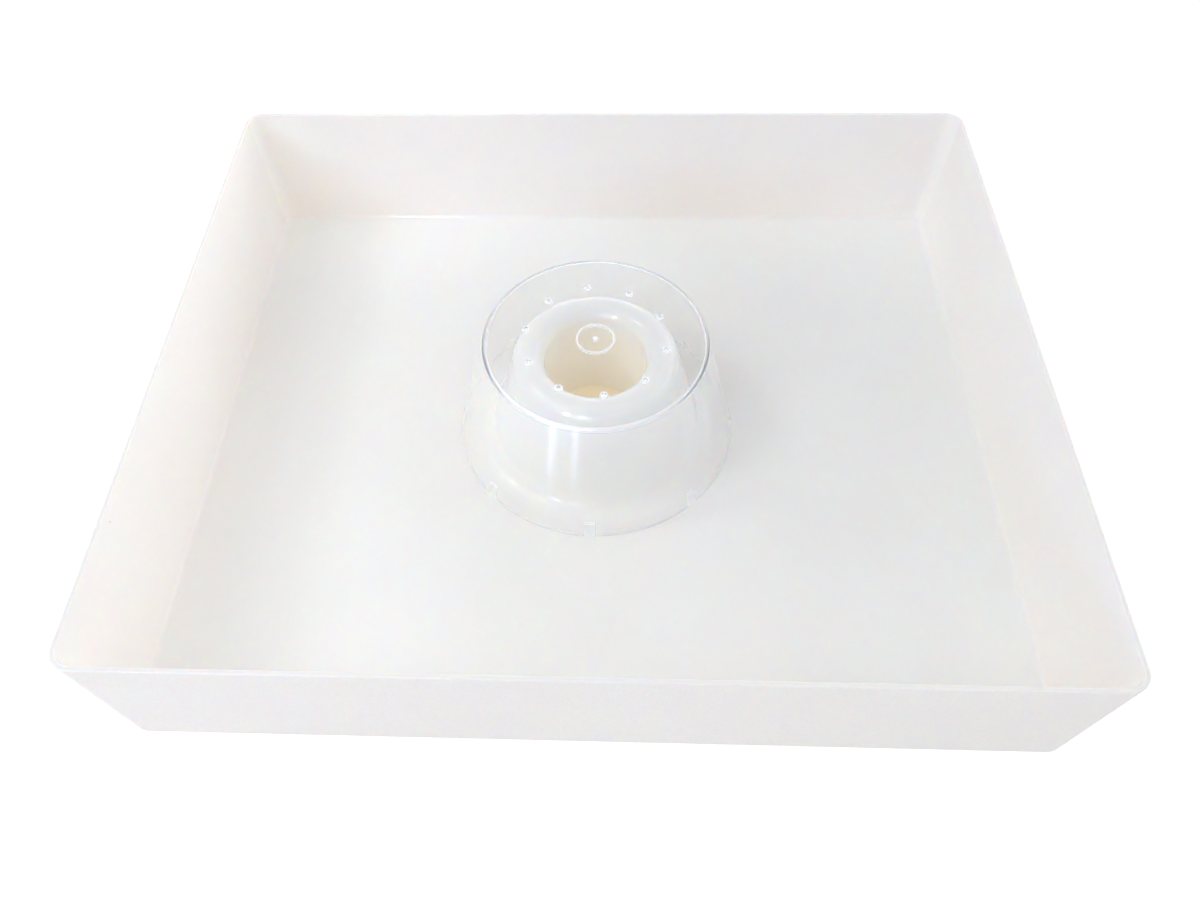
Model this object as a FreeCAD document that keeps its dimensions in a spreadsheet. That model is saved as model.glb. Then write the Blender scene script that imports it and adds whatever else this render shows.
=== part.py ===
import FreeCAD, Part
import math
import os
import Sketcher

# Hive top feeder: a rectangular moulded syrup tray with a bee chimney in its
# floor, and a clear inverted cup that stands over the chimney.
# Frame: +Z up, +X along the tray's longer side, origin at the centre of the
# tray's underside. Millimetres.

V = FreeCAD.Vector
doc = FreeCAD.newDocument("hive_top_feeder")

# ---------------------------------------------------------------- dimensions
sheet = doc.addObject("Spreadsheet::Sheet", "params")
CELLS = [
    # tray
    ("rim_length", 510.0, "outer length over the rim, X"),
    ("rim_width", 425.0, "outer width over the rim, Y"),
    ("tray_height", 95.0, "height over all"),
    ("draft_in", 7.0, "how far each wall leans in from rim to base"),
    ("rim_corner", 12.0, "outer corner radius at the rim"),
    ("base_corner", 10.0, "outer corner radius at the base"),
    ("wall_thick", 2.4, "wall thickness"),
    ("floor_thick", 2.5, "floor thickness"),
    ("floor_fillet", 3.0, "inner fillet between floor and walls"),
    ("base_round", 2.0, "outer round under the walls"),
    ("rim_round", 0.5, "edge rounds of the rim"),
    # chimney
    ("chimney_y", 7.0, "chimney axis behind the tray centre"),
    ("chimney_lean", 15.5, "half angle of the outer cone, degrees"),
    ("lip_ring", 41.3, "radius of the lip's centre circle"),
    ("lip_round", 9.7, "section radius of the lip"),
    ("lip_level", 62.2, "height of the lip's section centre"),
    ("bore_draft", 1.5, "draft of the bore, degrees"),
    ("chimney_wall", 2.2, "wall thickness of cone, lip and bore tube"),
    ("root_fillet", 14.0, "flared fillet between cone and floor"),
    # cup
    ("cup_base", 88.5, "outer radius at the open end"),
    ("cup_top", 68.0, "outer radius at the roof"),
    ("cup_height", 80.5, "height over the roof"),
    ("cup_wall", 1.5, "wall thickness"),
    ("cup_edge", 1.6, "outer round of the roof edge"),
    ("cup_inner_edge", 0.8, "inner round of the roof edge"),
    ("vent_count", 10, "vent holes"),
    ("vent_ring", 43.1, "radius of the vent circle"),
    ("vent_radius", 1.35, "vent hole radius"),
    ("vent_collar", 2.25, "outer radius of the collar round a vent"),
    ("vent_collar_rise", 0.6, "height of the collar"),
    ("vent_phase", 97.4, "angle of the first vent, degrees"),
    ("ring_radius", 11.2, "mid radius of the moulded ring"),
    ("ring_width", 1.2, "width of the moulded ring"),
    ("ring_rise", 0.7, "height of the moulded ring"),
    ("nub_radius", 1.6, "radius of the gate nub"),
    ("nub_rise", 0.8, "height of the gate nub"),
    ("notch_count", 8, "notches in the open end"),
    ("notch_width", 6.0, "notch width"),
    ("notch_height", 9.5, "notch height"),
    ("notch_phase", -91.6, "angle of the first notch, degrees"),
]
for i, (name, value, note) in enumerate(CELLS, start=1):
    sheet.set("A%d" % i, name)
    sheet.set("B%d" % i, repr(value))
    sheet.set("C%d" % i, note)
    sheet.setAlias("B%d" % i, name)
doc.recompute()
P = {name: float(getattr(sheet, name)) for name, _, _ in CELLS}


def origin_plane(body, role):
    for feature in body.Origin.OriginFeatures:
        if feature.Role == role:
            return feature
    raise RuntimeError("no " + role)


def make_body(label):
    body = doc.addObject("PartDesign::Body", label)
    body.Label = label
    return body


def make_sketch(body, name, role="XY_Plane"):
    sketch = body.newObject("Sketcher::SketchObject", name)
    sketch.AttachmentSupport = [(origin_plane(body, role), "")]
    sketch.MapMode = "FlatFace"
    return sketch


def named(sketch, name, constraint, expression):
    """Add one dimension to a sketch, name it and bind it to the sheet."""
    index = sketch.addConstraint(constraint)
    sketch.renameConstraint(index, name)
    sketch.setExpression("Constraints." + name, expression)
    return index


def rounded_rectangle(sketch, a, b, r, length, width, radius):
    """A rectangle centred on the origin with four equal corner arcs.
    a, b, r are starting values; length, width, radius are expressions."""
    h = math.pi / 2
    up = V(0, 0, 1)

    def arc(cx, cy, start):
        return Part.ArcOfCircle(Part.Circle(V(cx, cy, 0), up, r), start, start + h)

    pieces = [
        Part.LineSegment(V(-a + r, -b, 0), V(a - r, -b, 0)),
        arc(a - r, -b + r, -h),
        Part.LineSegment(V(a, -b + r, 0), V(a, b - r, 0)),
        arc(a - r, b - r, 0.0),
        Part.LineSegment(V(a - r, b, 0), V(-a + r, b, 0)),
        arc(-a + r, b - r, h),
        Part.LineSegment(V(-a, b - r, 0), V(-a, -b + r, 0)),
        arc(-a + r, -b + r, 2 * h),
    ]
    sketch.addGeometry(pieces, False)
    for k in range(8):
        sketch.addConstraint(Sketcher.Constraint("Tangent", k, 2, (k + 1) % 8, 1))
    sketch.addConstraint(Sketcher.Constraint("Horizontal", 0))
    sketch.addConstraint(Sketcher.Constraint("Horizontal", 4))
    sketch.addConstraint(Sketcher.Constraint("Vertical", 2))
    sketch.addConstraint(Sketcher.Constraint("Vertical", 6))
    for k in (3, 5, 7):
        sketch.addConstraint(Sketcher.Constraint("Equal", 1, k))
    sketch.addConstraint(Sketcher.Constraint("Symmetric", 0, 1, 4, 1, -1, 1))
    named(sketch, "across", Sketcher.Constraint("DistanceX", 6, 1, 2, 1, 2 * a), length)
    named(sketch, "deep", Sketcher.Constraint("DistanceY", 0, 1, 4, 1, 2 * b), width)
    named(sketch, "corner", Sketcher.Constraint("Radius", 1, r), radius)


def profile(sketch, points, arcs=()):
    """A closed profile of points (x, z), given in order. Each corner has its
    own coordinates bound to the sheet: points holds (x, z, x_expr, z_expr).
    arcs maps the index of a side to its arc (cx, cz, r, cx_expr, cz_expr,
    sense), where sense is 1 for anticlockwise and -1 for clockwise."""
    arcs = dict(arcs)
    count = len(points)
    ends = []
    for k in range(count):
        x0, z0 = points[k][:2]
        x1, z1 = points[(k + 1) % count][:2]
        if k in arcs:
            cx, cz, r, _, _, sense = arcs[k]
            t0 = math.atan2(z0 - cz, x0 - cx)
            t1 = math.atan2(z1 - cz, x1 - cx)
            if sense < 0:
                t0, t1 = t1, t0
            while t1 <= t0:
                t1 += 2 * math.pi
            geo = Part.ArcOfCircle(Part.Circle(V(cx, cz, 0), V(0, 0, 1), r), t0, t1)
            ends.append((2, 1) if sense < 0 else (1, 2))
        else:
            geo = Part.LineSegment(V(x0, z0, 0), V(x1, z1, 0))
            ends.append((1, 2))
        sketch.addGeometry(geo, False)
    for k in range(count):
        j = (k + 1) % count
        sketch.addConstraint(Sketcher.Constraint("Coincident", k, ends[k][1], j, ends[j][0]))
    for k, (cx, cz, r, cxe, cze, sense) in arcs.items():
        named(sketch, "arc%d_x" % k, Sketcher.Constraint("DistanceX", -1, 1, k, 3, cx), cxe)
        named(sketch, "arc%d_z" % k, Sketcher.Constraint("DistanceY", -1, 1, k, 3, cz), cze)
    for k in range(count):
        x, z, xe, ze = points[k]
        start = ends[k][0]
        # an arc's second end already has its radius, so one coordinate fixes it
        if abs(x) < 1e-9:
            sketch.addConstraint(Sketcher.Constraint("PointOnObject", k, start, -2))
        elif xe is not None:
            named(sketch, "p%d_x" % k, Sketcher.Constraint("DistanceX", -1, 1, k, start, x), xe)
        if ze is not None:
            if abs(z) < 1e-9 and ze == "0":
                sketch.addConstraint(Sketcher.Constraint("PointOnObject", k, start, -1))
            else:
                named(sketch, "p%d_z" % k, Sketcher.Constraint("DistanceY", -1, 1, k, start, z), ze)


# Short names for the sheet's cells inside expressions.
def q(text):
    out = text
    for name in sorted(P, key=len, reverse=True):
        out = out.replace("{" + name + "}", "<<params>>." + name)
    return out


# ---------------------------------------------------------------- the tray
tray = make_body("feeder_tray")

a1 = P["rim_length"] / 2
b1 = P["rim_width"] / 2
a0 = a1 - P["draft_in"]
b0 = b1 - P["draft_in"]
t = P["wall_thick"]
f = P["floor_thick"]
H = P["tray_height"]

# outer form: a drafted, round-cornered block from the base to the rim
outer_base = make_sketch(tray, "outer_base")
rounded_rectangle(outer_base, a0, b0, P["base_corner"],
                  q("{rim_length} - 2 * {draft_in}"), q("{rim_width} - 2 * {draft_in}"),
                  q("{base_corner}"))
outer_rim = make_sketch(tray, "outer_rim")
outer_rim.setExpression("AttachmentOffset.Base.z", q("{tray_height}"))
rounded_rectangle(outer_rim, a1, b1, P["rim_corner"],
                  q("{rim_length}"), q("{rim_width}"), q("{rim_corner}"))
doc.recompute()
block = tray.newObject("PartDesign::AdditiveLoft", "outer_form")
block.Profile = outer_base
block.Sections = [outer_rim]
block.Ruled = True
doc.recompute()

# inner form: the same draft, one wall thickness in, down to the floor
lean = P["draft_in"] * (1 - f / H)
inner_floor = make_sketch(tray, "inner_floor")
inner_floor.setExpression("AttachmentOffset.Base.z", q("{floor_thick}"))
lean_expr = "{draft_in} * (1 - {floor_thick} / {tray_height})"
rounded_rectangle(inner_floor, a1 - lean - t, b1 - lean - t, P["base_corner"] - t,
                  q("{rim_length} - 2 * " + lean_expr + " - 2 * {wall_thick}"),
                  q("{rim_width} - 2 * " + lean_expr + " - 2 * {wall_thick}"),
                  q("{base_corner} - {wall_thick}"))
inner_rim = make_sketch(tray, "inner_rim")
inner_rim.setExpression("AttachmentOffset.Base.z", q("{tray_height}"))
rounded_rectangle(inner_rim, a1 - t, b1 - t, P["rim_corner"] - t,
                  q("{rim_length} - 2 * {wall_thick}"), q("{rim_width} - 2 * {wall_thick}"),
                  q("{rim_corner} - {wall_thick}"))
doc.recompute()
hollow = tray.newObject("PartDesign::SubtractiveLoft", "inner_form")
hollow.Profile = inner_floor
hollow.Sections = [inner_rim]
hollow.Ruled = True
doc.recompute()


def edges_where(shape, test):
    return ["Edge%d" % (i + 1) for i, e in enumerate(shape.Edges) if test(e)]


def flat_at(edge, z, tol=1e-3):
    box = edge.BoundBox
    return abs(box.ZMin - z) < tol and abs(box.ZMax - z) < tol


def fillet(body, name, base, edges, expression):
    if not edges:
        raise RuntimeError("no edges for " + name)
    feature = body.newObject("PartDesign::Fillet", name)
    feature.Base = (base, edges)
    feature.setExpression("Radius", expression)
    doc.recompute()
    return feature


floor_round = fillet(tray, "floor_round", hollow,
                     edges_where(hollow.Shape, lambda e: flat_at(e, f)), q("{floor_fillet}"))
base_edge = fillet(tray, "base_edge", floor_round,
                   edges_where(floor_round.Shape, lambda e: flat_at(e, 0.0)), q("{base_round}"))
rim_edge = fillet(tray, "rim_edge", base_edge,
                  edges_where(base_edge.Shape, lambda e: flat_at(e, H)), q("{rim_round}"))

# chimney: outer cone, rounded lip and inner bore tube, one wall thickness,
# hollow between cone and tube from beneath
lean_a = math.radians(P["chimney_lean"])
bore_a = math.radians(P["bore_draft"])
R0, m, zc, w = P["lip_ring"], P["lip_round"], P["lip_level"], P["chimney_wall"]

# the revolved wall section, in a plane through the chimney's axis
c, s = math.cos(lean_a), math.sin(lean_a)
cb, sb = math.cos(bore_a), math.sin(bore_a)
tan = math.tan(lean_a)
tb = math.tan(bore_a)
out_top = (R0 + m * c, zc + m * s)
in_top = (R0 - m * cb, zc + m * sb)
i = m - w
out_top_i = (R0 + i * c, zc + i * s)
in_top_i = (R0 - i * cb, zc + i * sb)
foot_out = out_top[0] + out_top[1] * tan
foot_in = out_top_i[0] + out_top_i[1] * tan
bore_foot = in_top[0] - in_top[1] * tb
tube_foot = in_top_i[0] - in_top_i[1] * tb

LC, LS, LT = "cos({chimney_lean} * 1 deg)", "sin({chimney_lean} * 1 deg)", "tan({chimney_lean} * 1 deg)"
BC, BS, BT = "cos({bore_draft} * 1 deg)", "sin({bore_draft} * 1 deg)", "tan({bore_draft} * 1 deg)"
MI = "({lip_round} - {chimney_wall})"
ox, oz = "({lip_ring} + {lip_round} * " + LC + ")", "({lip_level} + {lip_round} * " + LS + ")"
ix, iz = "({lip_ring} - {lip_round} * " + BC + ")", "({lip_level} + {lip_round} * " + BS + ")"
oxi, ozi = "({lip_ring} + " + MI + " * " + LC + ")", "({lip_level} + " + MI + " * " + LS + ")"
ixi, izi = "({lip_ring} - " + MI + " * " + BC + ")", "({lip_level} + " + MI + " * " + BS + ")"

# opening in the floor, under the cone
clear = foot_in + 0.6
opening = make_sketch(tray, "floor_opening")
opening.addGeometry(Part.Circle(V(0, P["chimney_y"], 0), V(0, 0, 1), clear), False)
opening.addConstraint(Sketcher.Constraint("PointOnObject", 0, 3, -2))
named(opening, "axis", Sketcher.Constraint("DistanceY", -1, 1, 0, 3, P["chimney_y"]), q("{chimney_y}"))
named(opening, "opening", Sketcher.Constraint("Radius", 0, clear),
      q(oxi + " + " + ozi + " * " + LT + " + 0.6"))
doc.recompute()
cut = tray.newObject("PartDesign::Pocket", "floor_cut")
cut.Profile = opening
cut.Type = "ThroughAll"
cut.Midplane = True
doc.recompute()
before = rim_edge.Shape.Volume
if not cut.Shape.Volume < before - 1000:
    raise RuntimeError("the floor opening cut nothing")

section = make_sketch(tray, "chimney_section", "XZ_Plane")
section.setExpression("AttachmentOffset.Base.z", q("-{chimney_y}"))
points = [
    (foot_out, 0.0, q(ox + " + " + oz + " * " + LT), "0"),
    (out_top[0], out_top[1], q(ox), q(oz)),
    (in_top[0], in_top[1], q(ix), None),
    (bore_foot, 0.0, q(ix + " - " + iz + " * " + BT), "0"),
    (tube_foot, 0.0, q(ixi + " - " + izi + " * " + BT), "0"),
    (in_top_i[0], in_top_i[1], q(ixi), q(izi)),
    (out_top_i[0], out_top_i[1], q(oxi), None),
    (foot_in, 0.0, q(oxi + " + " + ozi + " * " + LT), "0"),
]
arcs = {
    1: (R0, zc, m, q("{lip_ring}"), q("{lip_level}"), 1),
    5: (R0, zc, i, q("{lip_ring}"), q("{lip_level}"), -1),
}
profile(section, points, arcs)
doc.recompute()
chimney = tray.newObject("PartDesign::Revolution", "chimney")
chimney.Profile = section
chimney.ReferenceAxis = (section, ["V_Axis"])
chimney.Angle = 360
doc.recompute()

# wide flared root between the cone and the floor
cy = P["chimney_y"]


def round_about_axis(edge, z, tol=1e-2):
    if not flat_at(edge, z, tol):
        return False
    curve = edge.Curve
    return hasattr(curve, "Radius") and abs(curve.Center.x) < 0.01 and abs(curve.Center.y - cy) < 0.01


root = fillet(tray, "chimney_root", chimney,
              edges_where(chimney.Shape, lambda e: round_about_axis(e, f) and e.Curve.Radius > 60),
              q("{root_fillet}"))
tray.Tip = root

# ---------------------------------------------------------------- the cup
# Built about its own axis with its open end at z = 0, then stood on the floor.
cup = make_body("clear_cup")
Rb, Rt, hc, wc = P["cup_base"], P["cup_top"], P["cup_height"], P["cup_wall"]
wall_section = make_sketch(cup, "wall_section", "XZ_Plane")
points = [
    (Rb, 0.0, q("{cup_base}"), "0"),
    (Rt, hc, q("{cup_top}"), q("{cup_height}")),
    (0.0, hc, None, q("{cup_height}")),
    (0.0, hc - wc, None, q("{cup_height} - {cup_wall}")),
    (Rt - wc, hc - wc, q("{cup_top} - {cup_wall}"), q("{cup_height} - {cup_wall}")),
    (Rb - wc, 0.0, q("{cup_base} - {cup_wall}"), "0"),
]
profile(wall_section, points)
doc.recompute()
shell = cup.newObject("PartDesign::Revolution", "shell")
shell.Profile = wall_section
shell.ReferenceAxis = (wall_section, ["V_Axis"])
shell.Angle = 360
doc.recompute()
roof_edge = fillet(cup, "roof_edge", shell,
                   edges_where(shell.Shape, lambda e: flat_at(e, hc) and e.BoundBox.XLength > 20),
                   q("{cup_edge}"))
inner_edge = fillet(cup, "inner_edge", roof_edge,
                    edges_where(roof_edge.Shape, lambda e: flat_at(e, hc - wc) and e.BoundBox.XLength > 20),
                    q("{cup_inner_edge}"))

# moulded ring and gate nub in the middle of the roof
ring = make_sketch(cup, "ring_section")
ring.setExpression("AttachmentOffset.Base.z", q("{cup_height}"))
for k, (name, r, expr) in enumerate((
        ("ring_out", P["ring_radius"] + P["ring_width"] / 2, "{ring_radius} + {ring_width} / 2"),
        ("ring_in", P["ring_radius"] - P["ring_width"] / 2, "{ring_radius} - {ring_width} / 2"))):
    ring.addGeometry(Part.Circle(V(0, 0, 0), V(0, 0, 1), r), False)
    ring.addConstraint(Sketcher.Constraint("Coincident", k, 3, -1, 1))
    named(ring, name, Sketcher.Constraint("Radius", k, r), q(expr))
doc.recompute()
ring_pad = cup.newObject("PartDesign::Pad", "ring")
ring_pad.Profile = ring
ring_pad.setExpression("Length", q("{ring_rise}"))
doc.recompute()

nub = make_sketch(cup, "nub_section")
nub.setExpression("AttachmentOffset.Base.z", q("{cup_height}"))
nub.addGeometry(Part.Circle(V(0, 0, 0), V(0, 0, 1), P["nub_radius"]), False)
nub.addConstraint(Sketcher.Constraint("Coincident", 0, 3, -1, 1))
named(nub, "nub", Sketcher.Constraint("Radius", 0, P["nub_radius"]), q("{nub_radius}"))
doc.recompute()
nub_pad = cup.newObject("PartDesign::Pad", "nub")
nub_pad.Profile = nub
nub_pad.setExpression("Length", q("{nub_rise}"))
doc.recompute()

# vent collars, then the vent holes through them
ph = math.radians(P["vent_phase"])
vx, vy = P["vent_ring"] * math.cos(ph), P["vent_ring"] * math.sin(ph)
VX = q("{vent_ring} * cos({vent_phase} * 1 deg)")
VY = q("{vent_ring} * sin({vent_phase} * 1 deg)")


def vent_circle(name, radius, radius_expr, z_expr):
    sketch = make_sketch(cup, name)
    sketch.setExpression("AttachmentOffset.Base.z", z_expr)
    sketch.setExpression("AttachmentOffset.Base.x", VX)
    sketch.setExpression("AttachmentOffset.Base.y", VY)
    sketch.addGeometry(Part.Circle(V(0, 0, 0), V(0, 0, 1), radius), False)
    sketch.addConstraint(Sketcher.Constraint("Coincident", 0, 3, -1, 1))
    named(sketch, "circle", Sketcher.Constraint("Radius", 0, radius), radius_expr)
    doc.recompute()
    return sketch


def z_axis(body):
    for feature in body.Origin.OriginFeatures:
        if feature.Role == "Z_Axis":
            return feature
    raise RuntimeError("no Z axis")


def polar(body, name, original, count_expr):
    pattern = body.newObject("PartDesign::PolarPattern", name)
    pattern.Originals = [original]
    pattern.Axis = (z_axis(body), [""])
    pattern.Angle = 360
    pattern.setExpression("Occurrences", count_expr)
    body.Tip = pattern
    doc.recompute()
    return pattern


collar_circle = vent_circle("collar_circle", P["vent_collar"], q("{vent_collar}"), q("{cup_height}"))
collar = cup.newObject("PartDesign::Pad", "vent_collar")
collar.Profile = collar_circle
collar.setExpression("Length", q("{vent_collar_rise}"))
doc.recompute()
collars = polar(cup, "vent_collars", collar, q("{vent_count}"))

hole_circle = vent_circle("hole_circle", P["vent_radius"], q("{vent_radius}"),
                          q("{cup_height} + {vent_collar_rise}"))
hole = cup.newObject("PartDesign::Pocket", "vent_hole")
hole.Profile = hole_circle
hole.setExpression("Length", q("{vent_collar_rise} + {cup_wall} + 1"))
doc.recompute()
if not hole.Shape.Volume < collars.Shape.Volume - 5:
    raise RuntimeError("the vent hole cut nothing")
holes = polar(cup, "vent_holes", hole, q("{vent_count}"))

# notches in the open end, cut upwards through the wall
notch = make_sketch(cup, "notch_section")
nw, r_in, r_out = P["notch_width"] / 2, Rb - 8, Rb + 3
notch.AttachmentOffset = FreeCAD.Placement(V(0, 0, 0), FreeCAD.Rotation(V(0, 0, 1), P["notch_phase"]))
notch.setExpression("AttachmentOffset.Rotation.Angle", q("{notch_phase} * 1 deg"))
notch.addGeometry([
    Part.LineSegment(V(r_in, -nw, 0), V(r_out, -nw, 0)),
    Part.LineSegment(V(r_out, -nw, 0), V(r_out, nw, 0)),
    Part.LineSegment(V(r_out, nw, 0), V(r_in, nw, 0)),
    Part.LineSegment(V(r_in, nw, 0), V(r_in, -nw, 0)),
], False)
for k in range(4):
    notch.addConstraint(Sketcher.Constraint("Coincident", k, 2, (k + 1) % 4, 1))
notch.addConstraint(Sketcher.Constraint("Horizontal", 0))
notch.addConstraint(Sketcher.Constraint("Horizontal", 2))
notch.addConstraint(Sketcher.Constraint("Vertical", 1))
notch.addConstraint(Sketcher.Constraint("Symmetric", 0, 1, 2, 2, -1))
named(notch, "wide", Sketcher.Constraint("DistanceY", 1, 1, 1, 2, 2 * nw), q("{notch_width}"))
named(notch, "inner", Sketcher.Constraint("DistanceX", -1, 1, 0, 1, r_in), q("{cup_base} - 8"))
named(notch, "outer", Sketcher.Constraint("DistanceX", -1, 1, 1, 1, r_out), q("{cup_base} + 3"))
doc.recompute()
notch_cut = cup.newObject("PartDesign::Pocket", "notch")
notch_cut.Profile = notch
notch_cut.Reversed = True
notch_cut.setExpression("Length", q("{notch_height}"))
doc.recompute()
if not notch_cut.Shape.Volume < holes.Shape.Volume - 5:
    raise RuntimeError("the notch cut nothing")
notches = polar(cup, "notches", notch_cut, q("{notch_count}"))

# the cup stands on the floor over the chimney
cup.setExpression("Placement.Base.y", q("{chimney_y}"))
cup.setExpression("Placement.Base.z", q("{floor_thick}"))
doc.recompute()

# ---------------------------------------------------------------- checks
for obj in doc.Objects:
    bad = [x for x in obj.State if x in ("Invalid", "Error")]
    if bad:
        raise RuntimeError("%s is %s" % (obj.Name, bad))

os.makedirs("parts", exist_ok=True)
for body in (tray, cup):
    shape = body.Shape
    if shape.isNull() or not shape.isValid():
        raise RuntimeError(body.Label + " has no valid shape")
    if len(shape.Solids) != 1:
        raise RuntimeError("%s has %d solids" % (body.Label, len(shape.Solids)))
    box = shape.BoundBox
    print("%s: volume %.1f cm3, box (%.2f %.2f %.2f) to (%.2f %.2f %.2f)" % (
        body.Label, shape.Volume / 1000, box.XMin, box.YMin, box.ZMin, box.XMax, box.YMax, box.ZMax))
for body in (tray, cup):
    body.Shape.exportStep("parts/%s.step" % body.Label)
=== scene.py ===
import math

import bpy
from mathutils import Matrix, Vector

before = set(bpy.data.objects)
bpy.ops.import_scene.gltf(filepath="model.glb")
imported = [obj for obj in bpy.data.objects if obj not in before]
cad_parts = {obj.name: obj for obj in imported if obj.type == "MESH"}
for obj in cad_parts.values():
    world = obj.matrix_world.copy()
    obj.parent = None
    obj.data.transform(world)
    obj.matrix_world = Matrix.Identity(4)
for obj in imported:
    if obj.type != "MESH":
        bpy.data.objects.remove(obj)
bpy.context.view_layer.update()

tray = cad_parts["feeder_tray"]
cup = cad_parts["clear_cup"]

# ------------------------------------------------------------------ camera
# 36 mm sensor over a 1200 px wide picture; focal length and centre in pixels
W, H = 1200.0, 900.0
F_PX, CX, CY = 1034.98, 567.12, 374.58
CAM_POS = Vector((0.0086075, -0.404136, 0.5490383))
ROT = Vector((2.4528, 0.0293, -0.0460))      # world to camera, x right, y down, z forward

angle = ROT.length
world_to_cam = Matrix.Rotation(angle, 3, ROT.normalized())
x_axis = Vector(world_to_cam[0])
y_axis = -Vector(world_to_cam[1])
z_axis = -Vector(world_to_cam[2])
cam_data = bpy.data.cameras.new("camera")
cam_data.sensor_width = 36.0
cam_data.sensor_fit = "HORIZONTAL"
cam_data.lens = 36.0 * F_PX / W
cam_data.shift_x = (W / 2 - CX) / W
cam_data.shift_y = (CY - H / 2) / W
cam_data.clip_start = 0.01
cam = bpy.data.objects.new("camera", cam_data)
bpy.context.scene.collection.objects.link(cam)
cam.matrix_world = Matrix((
    (x_axis.x, y_axis.x, z_axis.x, CAM_POS.x),
    (x_axis.y, y_axis.y, z_axis.y, CAM_POS.y),
    (x_axis.z, y_axis.z, z_axis.z, CAM_POS.z),
    (0, 0, 0, 1)))
bpy.context.scene.camera = cam


# --------------------------------------------------------------- materials
class Net:
    """Short calls for building a node tree."""

    def __init__(self, mat):
        mat.use_nodes = True
        self.t = mat.node_tree
        self.t.nodes.clear()

    def node(self, kind, **props):
        n = self.t.nodes.new(kind)
        for key, value in props.items():
            setattr(n, key, value)
        return n

    def put(self, socket, value):
        if isinstance(value, bpy.types.NodeSocket):
            self.t.links.new(value, socket)
        else:
            socket.default_value = value

    def math(self, op, a, b=None, c=None, clamp=False):
        n = self.node("ShaderNodeMath", operation=op, use_clamp=clamp)
        for i, v in enumerate((a, b, c)):
            if v is not None:
                self.put(n.inputs[i], v)
        return n.outputs[0]

    def vec(self, op, a, b=None):
        n = self.node("ShaderNodeVectorMath", operation=op)
        self.put(n.inputs[0], a)
        if b is not None:
            self.put(n.inputs[1], b)
        return n.outputs["Value"] if op in ("LENGTH", "DOT_PRODUCT", "DISTANCE") else n.outputs[0]

    def ramp(self, value, lo, hi, out_lo=0.0, out_hi=1.0, smooth=True):
        n = self.node("ShaderNodeMapRange", interpolation_type="SMOOTHSTEP" if smooth else "LINEAR")
        self.put(n.inputs[0], value)
        for i, v in enumerate((lo, hi, out_lo, out_hi)):
            self.put(n.inputs[1 + i], v)
        return n.outputs[0]

    def noise(self, at, scale, detail=2.0, rough=0.5, seed=0.0):
        n = self.node("ShaderNodeTexNoise", noise_dimensions="4D")
        self.put(n.inputs["Vector"], at)
        self.put(n.inputs["W"], seed)
        self.put(n.inputs["Scale"], scale)
        self.put(n.inputs["Detail"], detail)
        self.put(n.inputs["Roughness"], rough)
        return n.outputs[0]

    def colour(self, factor, a, b, blend="MIX"):
        n = self.node("ShaderNodeMix", data_type="RGBA", blend_type=blend)
        self.put(n.inputs[0], factor)
        self.put(n.inputs[6], a)
        self.put(n.inputs[7], b)
        return n.outputs[2]

    def value(self, factor, a, b):
        n = self.node("ShaderNodeMix", data_type="FLOAT")
        self.put(n.inputs[0], factor)
        self.put(n.inputs[2], a)
        self.put(n.inputs[3], b)
        return n.outputs[0]

    def bump(self, height, distance, strength=1.0, normal=None):
        n = self.node("ShaderNodeBump")
        self.put(n.inputs["Height"], height)
        self.put(n.inputs["Distance"], distance)
        self.put(n.inputs["Strength"], strength)
        if normal is not None:
            self.put(n.inputs["Normal"], normal)
        return n.outputs[0]

    def surface(self, shader):
        out = self.node("ShaderNodeOutputMaterial")
        self.t.links.new(shader, out.inputs[0])


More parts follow.
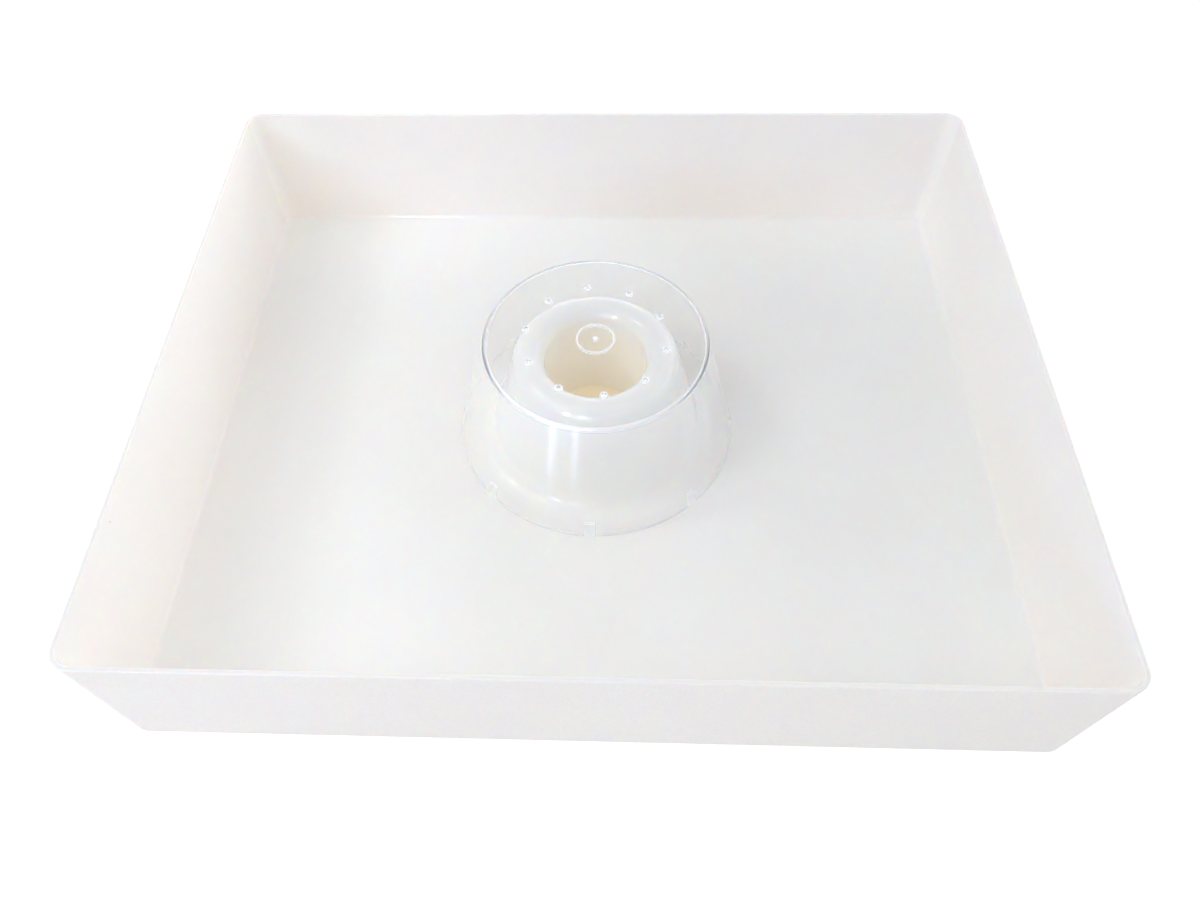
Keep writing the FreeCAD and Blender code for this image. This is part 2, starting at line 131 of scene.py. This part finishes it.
def tray_material():
    mat = bpy.data.materials.new("milky_moulded")
    g = Net(mat)
    at = g.node("ShaderNodeTexCoord").outputs["Object"]
    nrm = g.node("ShaderNodeNewGeometry").outputs["Normal"]
    p = g.node("ShaderNodeSeparateXYZ"); g.put(p.inputs[0], at)
    n = g.node("ShaderNodeSeparateXYZ"); g.put(n.inputs[0], nrm)

    # faces that look outward or down came off a sparked mould: dull and finely grained
    facing = g.math("ADD", g.math("MULTIPLY", p.outputs[0], n.outputs[0]),
                    g.math("MULTIPLY", p.outputs[1], n.outputs[1]))
    far = g.math("MAXIMUM", g.math("SUBTRACT", g.math("ABSOLUTE", p.outputs[0]), 0.236),
                 g.math("SUBTRACT", g.math("ABSOLUTE", p.outputs[1]), 0.193))
    outer = g.math("MULTIPLY", g.ramp(facing, 0.06, 0.14), g.ramp(far, 0.0, 0.001))
    under = g.ramp(g.math("MULTIPLY", n.outputs[2], -1.0), 0.3, 0.7)
    dull = g.math("MAXIMUM", outer, under)

    # colour: milky plastic with faint clouds
    cloud = g.noise(at, 11.0, 4.0, 0.6, 3.0)
    base = g.colour(g.ramp(cloud, 0.3, 0.7), (0.897, 0.882, 0.848, 1), (0.877, 0.860, 0.822, 1))
    fine = g.noise(at, 900.0, 2.0, 0.6, 8.0)
    base = g.colour(g.math("MULTIPLY", dull, g.ramp(fine, 0.35, 0.75)), base, (0.838, 0.824, 0.792, 1))
    # sparse dust and dark flecks, each under a millimetre
    cell = g.node("ShaderNodeTexVoronoi", voronoi_dimensions="3D", feature="F1")
    g.put(cell.inputs["Vector"], at); cell.inputs["Scale"].default_value = 40.0
    cell.inputs["Randomness"].default_value = 1.0
    pick = g.node("ShaderNodeSeparateColor"); g.put(pick.inputs[0], cell.outputs["Color"])
    size = g.math("MULTIPLY", pick.outputs[1], 0.022)
    fleck = g.math("MULTIPLY", g.math("LESS_THAN", cell.outputs["Distance"], size),
                   g.math("GREATER_THAN", pick.outputs[0], 0.90))
    base = g.colour(g.math("MULTIPLY", fleck, 0.55), base, (0.33, 0.27, 0.21, 1))

    # the trimmed rim top is duller, and painted shade makes its colour a little darker than the faces beside it
    rim_dull_and_shade = g.math("MULTIPLY", g.ramp(p.outputs[2], 0.0943, 0.0948), g.ramp(n.outputs[2], 0.5, 0.9))
    # painted shade: the upward rim face is darkened in colour, not by the lamps
    base = g.colour(g.math("MULTIPLY", rim_dull_and_shade, 0.8), base, (0.79, 0.775, 0.745, 1))

    # gloss: the inner faces are polished, with hazy patches and fine rub marks
    haze = g.noise(at, 22.0, 5.0, 0.62, 12.0)
    rub = g.node("ShaderNodeMapping"); g.put(rub.inputs[0], at)
    rub.inputs["Rotation"].default_value = (0.0, 0.0, 0.35)
    rub.inputs["Scale"].default_value = (38.0, 1100.0, 60.0)
    lines = g.noise(rub.outputs[0], 1.0, 2.0, 0.5, 21.0)
    inner_r = g.math("ADD", g.ramp(haze, 0.3, 0.75, 0.085, 0.15),
                     g.ramp(lines, 0.62, 0.78, 0.0, 0.06))
    rough = g.value(g.math("MAXIMUM", dull, rim_dull_and_shade), inner_r, g.ramp(fine, 0.3, 0.7, 0.44, 0.56))

    # relief: slow waves of the thin floor, moulded orange peel, and the outer grain
    wave = g.bump(g.noise(at, 9.0, 2.0, 0.45, 31.0), 0.0006, 1.0)
    peel = g.bump(g.noise(at, 160.0, 2.0, 0.5, 41.0), g.value(dull, 0.000012, 0.00003), 1.0, wave)
    grain = g.bump(g.noise(at, 1500.0, 2.0, 0.6, 51.0), g.value(dull, 0.0, 0.00007), 1.0, peel)

    b = g.node("ShaderNodeBsdfPrincipled")
    g.put(b.inputs["Base Color"], base)
    g.put(b.inputs["Roughness"], rough)
    g.put(b.inputs["Normal"], grain)
    b.inputs["IOR"].default_value = 1.49
    b.inputs["Subsurface Weight"].default_value = 1.0
    b.inputs["Subsurface Radius"].default_value = (1.0, 0.72, 0.46)
    b.inputs["Subsurface Scale"].default_value = 0.0018
    g.surface(b.outputs[0])
    return mat


def clear_material():
    mat = bpy.data.materials.new("clear_moulded")
    g = Net(mat)
    at = g.node("ShaderNodeTexCoord").outputs["Object"]
    p = g.node("ShaderNodeSeparateXYZ"); g.put(p.inputs[0], at)
    z = p.outputs[2]
    yc = g.math("SUBTRACT", p.outputs[1], 0.007)
    r = g.math("SQRT", g.math("ADD", g.math("MULTIPLY", p.outputs[0], p.outputs[0]), g.math("MULTIPLY", yc, yc)))
    turn = g.math("ARCTAN2", yc, p.outputs[0])

    def off(phase, count):
        """Distance along the circle to the nearest of count equal places."""
        t = g.math("DIVIDE", g.math("SUBTRACT", turn, math.radians(phase)), 2 * math.pi / count)
        f = g.math("SUBTRACT", t, g.math("ROUND", t))
        return g.math("ABSOLUTE", g.math("MULTIPLY", g.math("MULTIPLY", f, 2 * math.pi / count), r))

    # cut and pinched places are frosted: vent burrs, gate ring and nub, foot edge, notch sides
    dr = g.math("SUBTRACT", r, 0.0431)
    dt = off(97.4, 10)
    dv = g.math("SQRT", g.math("ADD", g.math("MULTIPLY", dr, dr), g.math("MULTIPLY", dt, dt)))
    high = g.math("GREATER_THAN", z, 0.0805)
    vents = g.math("MULTIPLY", g.ramp(dv, 0.0023, 0.0029, 0.85, 0.0), high)
    ring = g.ramp(g.math("ABSOLUTE", g.math("SUBTRACT", r, 0.0112)), 0.0005, 0.0009, 1.0, 0.0)
    nub = g.ramp(r, 0.0014, 0.0019, 1.0, 0.0)
    middle = g.math("MULTIPLY", g.math("MAXIMUM", g.math("MULTIPLY", ring, 0.7), nub), high)
    low = g.math("LESS_THAN", z, 0.0126)
    notch = g.math("MULTIPLY", g.ramp(off(-91.6, 8), 0.0031, 0.0037, 1.0, 0.0), low)
    foot = g.ramp(z, 0.0030, 0.0038, 1.0, 0.0)
    frost = g.math("MAXIMUM", g.math("MAXIMUM", vents, middle),
                   g.math("MAXIMUM", g.math("MULTIPLY", notch, 0.9), g.math("MULTIPLY", foot, 0.8)))
    # the flat ring it stands on is matt, and light led down inside the wall ends there
    nz = g.node("ShaderNodeSeparateXYZ"); g.put(nz.inputs[0], g.node("ShaderNodeNewGeometry").outputs["True Normal"])
    sole = g.math("MULTIPLY", g.ramp(z, 0.0026, 0.0030, 1.0, 0.0),
                  g.math("GREATER_THAN", g.math("ABSOLUTE", nz.outputs[2]), 0.7))

    # handling marks: fine scratches in two directions and a little haze
    marks = None
    for turned, seed in ((0.4, 5.0), (1.9, 15.0)):
        m = g.node("ShaderNodeMapping"); g.put(m.inputs[0], at)
        m.inputs["Rotation"].default_value = (0.25, 0.1, turned)
        m.inputs["Scale"].default_value = (30.0, 1500.0, 1500.0)
        line = g.ramp(g.noise(m.outputs[0], 1.0, 1.0, 0.4, seed), 0.70, 0.80)
        marks = line if marks is None else g.math("MAXIMUM", marks, line)
    haze = g.ramp(g.noise(at, 45.0, 3.0, 0.6, 25.0), 0.5, 0.8)
    rough = g.math("ADD", g.math("MULTIPLY", marks, 0.10), g.math("MULTIPLY", haze, 0.03))
    rough = g.math("MAXIMUM", rough, g.math("MULTIPLY", frost, 0.32))
    # worn, slightly hazy corner between roof and side wall
    corner = g.math("MULTIPLY", g.ramp(z, 0.0800, 0.0812), g.ramp(r, 0.0650, 0.0660))
    rough = g.math("MAXIMUM", rough, g.math("MULTIPLY", corner, 0.30))
    ripple = g.bump(g.noise(at, 60.0, 1.0, 0.4, 35.0), 0.00004, 1.0)
    b = g.node("ShaderNodeBsdfPrincipled")
    b.inputs["Base Color"].default_value = (0.99, 0.99, 0.985, 1)
    g.put(b.inputs["Roughness"], rough)
    g.put(b.inputs["Normal"], ripple)
    b.inputs["IOR"].default_value = 1.57
    g.put(b.inputs["Transmission Weight"], g.math("MULTIPLY", g.ramp(frost, 0.0, 1.0, 1.0, 0.4, smooth=False),
                                                  g.math("SUBTRACT", 1.0, g.math("MAXIMUM", sole,
                                                         g.math("MULTIPLY", corner, 0.15)))))

    # turning marks of the mould run round the side wall and draw lamps out into upright streaks
    front = g.math("SUBTRACT", 1.0, g.node("ShaderNodeNewGeometry").outputs["Backfacing"])
    side = g.math("MULTIPLY", g.math("MULTIPLY", g.ramp(r, 0.0655, 0.0675), g.ramp(z, 0.020, 0.062)), front)
    band = g.node("ShaderNodeMapping"); g.put(band.inputs[0], at)
    band.inputs["Scale"].default_value = (6.0, 6.0, 900.0)
    rings = g.ramp(g.noise(band.outputs[0], 1.0, 2.0, 0.5, 55.0), 0.35, 0.65, 0.7, 1.0)
    tone = g.node("ShaderNodeCombineColor")
    for k in range(3):
        g.put(tone.inputs[k], g.math("MULTIPLY", g.math("MULTIPLY", side, rings), (0.040, 0.043, 0.052)[k]))
    streak = g.node("ShaderNodeBsdfAnisotropic")
    tangent = g.node("ShaderNodeTangent", direction_type="RADIAL", axis="Z")
    g.put(streak.inputs["Color"], tone.outputs[0])
    streak.inputs["Roughness"].default_value = 0.26
    streak.inputs["Anisotropy"].default_value = 0.8
    g.put(streak.inputs["Tangent"], tangent.outputs[0])
    both = g.node("ShaderNodeAddShader")
    g.put(both.inputs[0], b.outputs[0]); g.put(both.inputs[1], streak.outputs[0])

    # lamps and soft light pass straight through, less so where the wall is seen edge-on
    edge = g.node("ShaderNodeFresnel"); edge.inputs["IOR"].default_value = 1.57
    over = g.math("SUBTRACT", g.math("MULTIPLY", edge.outputs[0], front), 0.03)
    path = g.node("ShaderNodeLightPath")
    shader = both.outputs[0]
    for ray, part in (("Is Diffuse Ray", 0.4), ("Is Shadow Ray", 2.0)):
        loss = g.math("MULTIPLY", over, part, clamp=True)
        clear = g.node("ShaderNodeBsdfTransparent")
        g.put(clear.inputs[0], g.colour(loss, (1, 1, 1, 1), (0, 0, 0, 1)))
        mix = g.node("ShaderNodeMixShader")
        g.put(mix.inputs[0], path.outputs[ray])
        g.put(mix.inputs[1], shader)
        g.put(mix.inputs[2], clear.outputs[0])
        shader = mix.outputs[0]
    g.surface(shader)
    return mat


def dress(obj, mat):
    for slot in obj.material_slots:
        slot.link = "OBJECT"
        slot.material = mat


dress(tray, tray_material())
dress(cup, clear_material())

# ------------------------------------------------------------------- stage
bpy.ops.mesh.primitive_plane_add(size=8.0, location=(0, 0, -0.0005))
floor = bpy.context.object
floor.name = "floor"
fm = bpy.data.materials.new("floor_white")
g = Net(fm)
p = g.node("ShaderNodeSeparateXYZ"); g.put(p.inputs[0], g.node("ShaderNodeNewGeometry").outputs["Position"])
foot = g.math("MAXIMUM", g.math("DIVIDE", g.math("ABSOLUTE", p.outputs[0]), 0.2465),
              g.math("DIVIDE", g.math("ABSOLUTE", p.outputs[1]), 0.204))
yc = g.math("SUBTRACT", p.outputs[1], 0.007)
hole = g.ramp(g.math("SQRT", g.math("ADD", g.math("MULTIPLY", p.outputs[0], p.outputs[0]),
                                    g.math("MULTIPLY", yc, yc))), 0.030, 0.036, 1.0, 0.0)
seen = g.node("ShaderNodeLightPath").outputs["Is Camera Ray"]
side = g.ramp(p.outputs[0], -0.5, 0.5, smooth=False)
tone = g.colour(side, (0.92, 0.88, 0.81, 1), (0.67, 0.64, 0.57, 1))     # the room is paler on the left
tone = g.colour(hole, tone, (0.36, 0.31, 0.20, 1))                      # warm light comes up the bore
e = g.node("ShaderNodeEmission")
g.put(e.inputs[0], g.colour(seen, tone, (0.93, 0.93, 0.93, 1)))
g.put(e.inputs[1], g.math("MAXIMUM", g.ramp(foot, 0.985, 1.0), hole))
d = g.node("ShaderNodeBsdfDiffuse")
under = g.colour(hole, (0.84, 0.78, 0.66, 1), (0.50, 0.43, 0.32, 1))
g.put(d.inputs[0], g.colour(g.ramp(foot, 0.985, 1.0), under, (0.20, 0.20, 0.20, 1)))
add = g.node("ShaderNodeAddShader")
g.put(add.inputs[0], e.outputs[0]); g.put(add.inputs[1], d.outputs[0])
g.surface(add.outputs[0])
floor.data.materials.append(fm)

# surroundings: a pale room, brighter where it is only mirrored or seen through the clear wall
world = bpy.data.worlds.new("world")
bpy.context.scene.world = world
g = Net(world)
path = g.node("ShaderNodeLightPath")
soft = g.node("ShaderNodeBackground")
up = g.node("ShaderNodeSeparateXYZ"); g.put(up.inputs[0], g.node("ShaderNodeTexCoord").outputs["Generated"])
mirrored = g.colour(g.ramp(up.outputs[2], 0.15, 0.6), (0.76, 0.78, 0.80, 1), (0.58, 0.59, 0.61, 1))
g.put(soft.inputs[0], g.colour(path.outputs["Is Diffuse Ray"], mirrored, (0.447, 0.476, 0.545, 1)))
out = g.node("ShaderNodeOutputWorld")
g.t.links.new(soft.outputs[0], out.inputs[0])


def area(name, pos, aim, size_x, size_y, radiance, colour=(1, 1, 1)):
    data = bpy.data.lights.new(name, "AREA")
    data.shape = "RECTANGLE"
    data.size, data.size_y = size_x, size_y
    data.energy = radiance * math.pi * size_x * size_y
    data.color = colour
    obj = bpy.data.objects.new(name, data)
    bpy.context.scene.collection.objects.link(obj)
    obj.location = pos
    obj.rotation_euler = (Vector(aim) - Vector(pos)).to_track_quat("-Z", "Y").to_euler()
    return obj


# soft studio lights: name, place, aim, size, brightness
def lamp(name, azimuth, elevation, distance, size, radiance, colour=(1, 1, 1)):
    """A square light aimed at the tray from a compass direction, in degrees."""
    a, e = math.radians(azimuth), math.radians(elevation)
    pos = Vector((math.cos(a) * math.cos(e), math.sin(a) * math.cos(e), math.sin(e))) * distance
    return area(name, pos, (0, 0, 0.03), size, size, radiance, colour)


def window(name, azimuth, low, high, distance, width, radiance, colour=(1, 1, 1)):
    """An upright light between two heights, given as degrees above the ground."""
    a = math.radians(azimuth)
    z0, z1 = distance * math.tan(math.radians(low)), distance * math.tan(math.radians(high))
    pos = (math.cos(a) * distance, math.sin(a) * distance, (z0 + z1) / 2)
    return area(name, pos, (0, 0, (z0 + z1) / 2), width, z1 - z0, radiance, colour)


lamp("right_low", 0, 15, 2.0, 1.1, 2.2, (0.78, 1.0, 1.18))
lamp("back_right_low", 45, 15, 2.0, 1.1, 2.1, (1.10, 1.0, 0.97))
lamp("back_low", 90, 15, 2.0, 1.1, 2.55, (0.91, 1.0, 1.18))
lamp("left_high", 180, 50, 2.0, 1.1, 0.95, (1.04, 1.0, 0.94))
lamp("front_left_high", 225, 50, 2.0, 1.1, 0.62, (0.75, 1.0, 1.2))
lamp("front_right_high", 315, 50, 2.0, 1.1, 0.64, (1.16, 1.0, 0.84))
lamp("top", 0, 89.9, 2.2, 1.2, 0.95, (1.25, 1.0, 0.77))
# smaller lights that draw the shadows: over the left wall, and low between the front corners
lamp("key_left", 184, 44, 2.0, 0.34, 12.5, (0.93, 1.0, 1.07))
lamp("key_front_left", 218, 50, 2.0, 0.34, 6.4, (0.80, 1.0, 1.18))
window("window_a", 246, 12, 19, 1.8, 0.16, 21.5, (0.72, 1.0, 1.75))
window("window_b", 263, 12, 19, 1.8, 0.16, 8.0, (0.85, 1.0, 1.2))
# light that soaks through the left wall: a card over the left side, facing only that wall
glow = area("glow_left", (-0.12, 0.05, 0.22), (-0.25, 0.04, 0.02), 0.40, 0.10, 0.48, (1.14, 1.0, 0.92))
glow.visible_glossy = False
glow.visible_camera = False
# the same inside the bore, whose milky wall glows
data = bpy.data.lights.new("glow_bore", "POINT")
data.energy, data.shadow_soft_size, data.color = 0.0042, 0.012, (1.0, 0.84, 0.62)
glow = bpy.data.objects.new("glow_bore", data)
bpy.context.scene.collection.objects.link(glow)
glow.location = (0.0, 0.007, 0.046)
glow.visible_glossy = False
glow.visible_camera = False
glow.visible_transmission = False
# narrow bright strips that only glossy faces mirror
for name, azimuth, strength in (("strip_a", 236, 50.0), ("strip_b", 254.6, 40.0)):
    strip = window(name, azimuth, 8, 34, 1.8, 0.16, strength, (0.85, 0.95, 1.15))
    strip.visible_diffuse = False
    strip.visible_camera = False

sc = bpy.context.scene
sc.view_settings.view_transform = "Standard"
sc.view_settings.look = "None"
sc.view_settings.exposure = 0.0
sc.view_settings.gamma = 1.0
sc.cycles.use_denoising = True
sc.cycles.max_bounces = 32
sc.cycles.diffuse_bounces = 8
sc.cycles.glossy_bounces = 28
sc.cycles.transmission_bounces = 28
sc.cycles.transparent_max_bounces = 16
sc.cycles.caustics_reflective = False
sc.cycles.caustics_refractive = False
